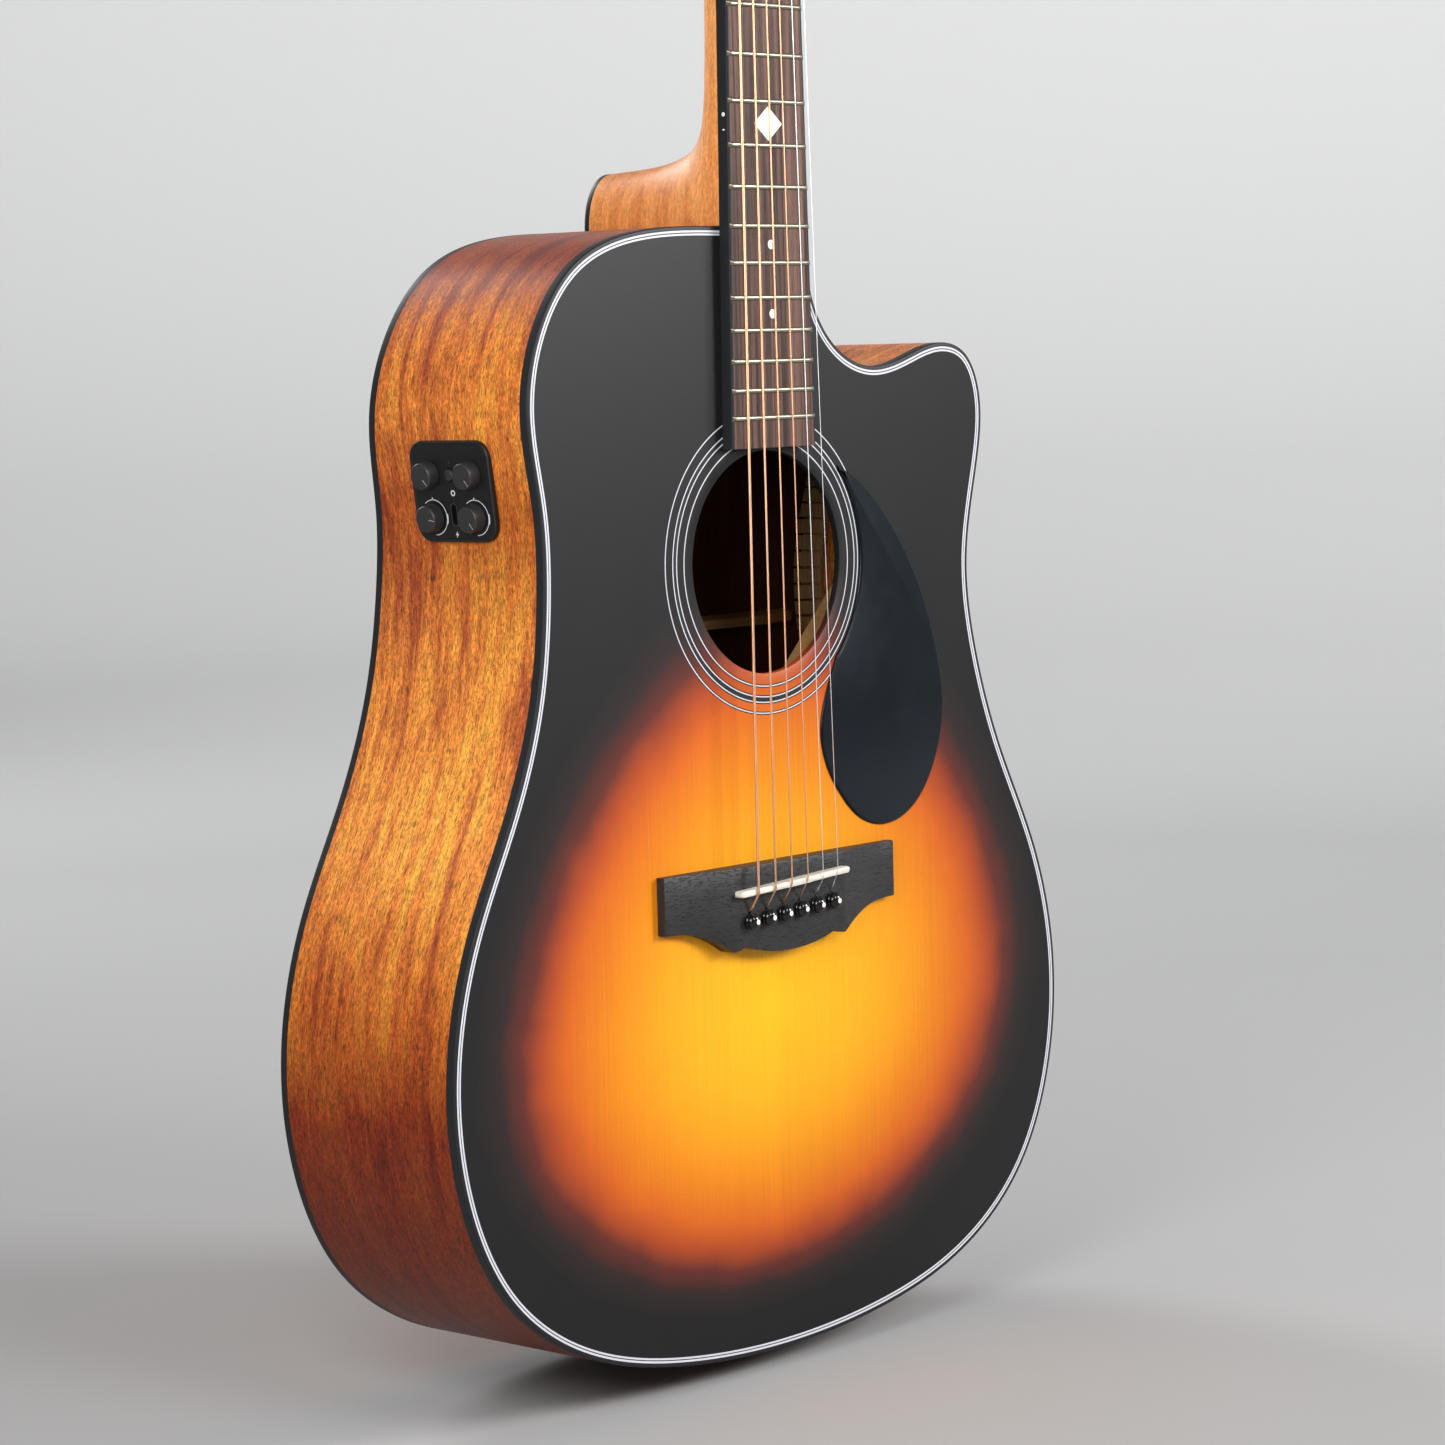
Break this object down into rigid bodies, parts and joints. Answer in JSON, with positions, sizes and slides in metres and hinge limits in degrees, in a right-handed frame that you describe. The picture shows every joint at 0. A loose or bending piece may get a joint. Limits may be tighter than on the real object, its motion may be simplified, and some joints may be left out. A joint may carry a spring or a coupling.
{
  "type": "acoustic guitar",
  "caption": "Steel-string acoustic guitar with a cutaway body, a sunburst top, geared tuners, a pinned bridge and a side-mounted preamp.",
  "frame": {"origin": "on the fretboard's face at the nut, on the centre line, where the string scale starts and where a hanger's yoke takes the neck", "axes": "+Z from the tail to the headstock, +Y from the soundboard to the back, +X to the treble (cutaway) side"},
  "size_m": [0.4126, 0.1291, 1.0525],
  "materials": {
    "sunburst_top": "satin amber to charcoal sunburst over straight spruce grain",
    "side_mahogany": "satin ribbon-striped mahogany with open pores",
    "back_mahogany": "satin book-matched mahogany",
    "black_binding": "satin black",
    "rosette_lines": "black rings with fine white lines",
    "pickguard_plastic": "matte blue-black",
    "inner_wood": "bare sanded wood",
    "bridge_wood": "satin black with fine pores",
    "bone": "polished ivory white",
    "pin_plastic": "gloss black with a white dot",
    "neck_mahogany": "satin light orange mahogany",
    "fretboard_wood": "oiled streaked rosewood",
    "headstock_black": "satin black",
    "rod_steel": "plain steel",
    "bronze_string": "wound bronze",
    "plain_string": "bright plain steel",
    "tuner_metal": "polished chrome",
    "tuner_grip": "polished chrome",
    "preamp_black": "fine-textured matte black",
    "knob_black": "matte black"
  },
  "bodies": {
    "guitar": {"soundboard": "sunburst_top", "side_bass": "side_mahogany", "side_treble": "side_mahogany", "back_plate": "back_mahogany", "binding_front": "black_binding", "binding_back": "black_binding", "heel_cap": "black_binding", "rosette": "rosette_lines", "pickguard": "pickguard_plastic", "neck_block": "inner_wood", "tail_block": "inner_wood", "kerfed_lining_front": "inner_wood", "kerfed_lining_back": "inner_wood", "top_bracing": "inner_wood", "back_bracing": "inner_wood", "bridge_plate": "inner_wood", "bridge": "bridge_wood", "saddle": "bone", "nut": "bone", "bridge_pin_1": "pin_plastic", "bridge_pin_2": "pin_plastic", "bridge_pin_3": "pin_plastic", "bridge_pin_4": "pin_plastic", "bridge_pin_5": "pin_plastic", "bridge_pin_6": "pin_plastic", "neck": "neck_mahogany", "fretboard": "fretboard_wood", "headstock_veneer": "headstock_black", "truss_rod": "rod_steel", "string_1": "bronze_string", "string_2": "bronze_string", "string_3": "bronze_string", "string_4": "bronze_string", "string_5": "plain_string", "string_6": "plain_string", "tuner_housing_1": "tuner_metal", "tuner_housing_2": "tuner_metal", "tuner_housing_3": "tuner_metal", "tuner_housing_4": "tuner_metal", "tuner_housing_5": "tuner_metal", "tuner_housing_6": "tuner_metal", "endpin_jack": "tuner_metal", "preamp_panel": "preamp_black"},
    "tuner_button_1": {"tuner_button_1": "tuner_grip"},
    "tuner_post_1": {"tuner_post_1": "tuner_metal"},
    "tuner_button_2": {"tuner_button_2": "tuner_grip"},
    "tuner_post_2": {"tuner_post_2": "tuner_metal"},
    "tuner_button_3": {"tuner_button_3": "tuner_grip"},
    "tuner_post_3": {"tuner_post_3": "tuner_metal"},
    "tuner_button_4": {"tuner_button_4": "tuner_grip"},
    "tuner_post_4": {"tuner_post_4": "tuner_metal"},
    "tuner_button_5": {"tuner_button_5": "tuner_grip"},
    "tuner_post_5": {"tuner_post_5": "tuner_metal"},
    "tuner_button_6": {"tuner_button_6": "tuner_grip"},
    "tuner_post_6": {"tuner_post_6": "tuner_metal"},
    "preamp_knob_1": {"preamp_knob_1": "knob_black"},
    "preamp_knob_2": {"preamp_knob_2": "knob_black"},
    "preamp_knob_3": {"preamp_knob_3": "knob_black"},
    "preamp_knob_4": {"preamp_knob_4": "knob_black"},
    "preamp_power_button": {"preamp_power_button": "preamp_black"}
  },
  "joints": [
    {"name": "tuner_button_1_turn", "type": "hinge", "parent": "guitar", "child": "tuner_button_1", "pos_m": [-0.026, 0.03627, 0.04585], "axis": [-1, 0, 0], "continuous": true},
    {"name": "tuner_post_1_turn", "type": "hinge", "parent": "guitar", "child": "tuner_post_1", "pos_m": [-0.026, 0.01519, 0.04317], "axis": [0, -0.9703, 0.2419], "continuous": true},
    {"name": "tuner_button_2_turn", "type": "hinge", "parent": "guitar", "child": "tuner_button_2", "pos_m": [-0.026, 0.04643, 0.0866], "axis": [-1, 0, 0], "continuous": true},
    {"name": "tuner_post_2_turn", "type": "hinge", "parent": "guitar", "child": "tuner_post_2", "pos_m": [-0.026, 0.02535, 0.08392], "axis": [0, -0.9703, 0.2419], "continuous": true},
    {"name": "tuner_button_3_turn", "type": "hinge", "parent": "guitar", "child": "tuner_button_3", "pos_m": [-0.026, 0.05659, 0.12736], "axis": [-1, 0, 0], "continuous": true},
    {"name": "tuner_post_3_turn", "type": "hinge", "parent": "guitar", "child": "tuner_post_3", "pos_m": [-0.026, 0.03551, 0.12468], "axis": [0, -0.9703, 0.2419], "continuous": true},
    {"name": "tuner_button_4_turn", "type": "hinge", "parent": "guitar", "child": "tuner_button_4", "pos_m": [0.026, 0.05659, 0.12736], "axis": [1, 0, 0], "continuous": true},
    {"name": "tuner_post_4_turn", "type": "hinge", "parent": "guitar", "child": "tuner_post_4", "pos_m": [0.026, 0.03551, 0.12468], "axis": [0, -0.9703, 0.2419], "continuous": true},
    {"name": "tuner_button_5_turn", "type": "hinge", "parent": "guitar", "child": "tuner_button_5", "pos_m": [0.026, 0.04643, 0.0866], "axis": [1, 0, 0], "continuous": true},
    {"name": "tuner_post_5_turn", "type": "hinge", "parent": "guitar", "child": "tuner_post_5", "pos_m": [0.026, 0.02535, 0.08392], "axis": [0, -0.9703, 0.2419], "continuous": true},
    {"name": "tuner_button_6_turn", "type": "hinge", "parent": "guitar", "child": "tuner_button_6", "pos_m": [0.026, 0.03627, 0.04585], "axis": [1, 0, 0], "continuous": true},
    {"name": "tuner_post_6_turn", "type": "hinge", "parent": "guitar", "child": "tuner_post_6", "pos_m": [0.026, 0.01519, 0.04317], "axis": [0, -0.9703, 0.2419], "continuous": true},
    {"name": "preamp_knob_1_turn", "type": "hinge", "parent": "guitar", "child": "preamp_knob_1", "pos_m": [-0.14824, 0.0666, -0.46466], "axis": [-0.9915, 0, -0.13], "range_deg": [-140, 140]},
    {"name": "preamp_knob_2_turn", "type": "hinge", "parent": "guitar", "child": "preamp_knob_2", "pos_m": [-0.14824, 0.0414, -0.46466], "axis": [-0.9915, 0, -0.13], "range_deg": [-140, 140]},
    {"name": "preamp_knob_3_turn", "type": "hinge", "parent": "guitar", "child": "preamp_knob_3", "pos_m": [-0.14582, 0.0666, -0.48311], "axis": [-0.9915, 0, -0.13], "range_deg": [-140, 140]},
    {"name": "preamp_knob_4_turn", "type": "hinge", "parent": "guitar", "child": "preamp_knob_4", "pos_m": [-0.14582, 0.0414, -0.48311], "axis": [-0.9915, 0, -0.13], "range_deg": [-140, 140]},
    {"name": "preamp_power_button_press", "type": "slide", "parent": "guitar", "child": "preamp_power_button", "axis": [0.9915, 0, 0.13], "range_m": [0, 0.001], "stiffness_N_per_m": 400}
  ],
  "couplings": [
    {"joint": "tuner_post_1_turn", "follows": "tuner_button_1_turn", "ratio": 0.055556},
    {"joint": "tuner_post_2_turn", "follows": "tuner_button_2_turn", "ratio": 0.055556},
    {"joint": "tuner_post_3_turn", "follows": "tuner_button_3_turn", "ratio": 0.055556},
    {"joint": "tuner_post_4_turn", "follows": "tuner_button_4_turn", "ratio": -0.055556},
    {"joint": "tuner_post_5_turn", "follows": "tuner_button_5_turn", "ratio": -0.055556},
    {"joint": "tuner_post_6_turn", "follows": "tuner_button_6_turn", "ratio": -0.055556}
  ]
}
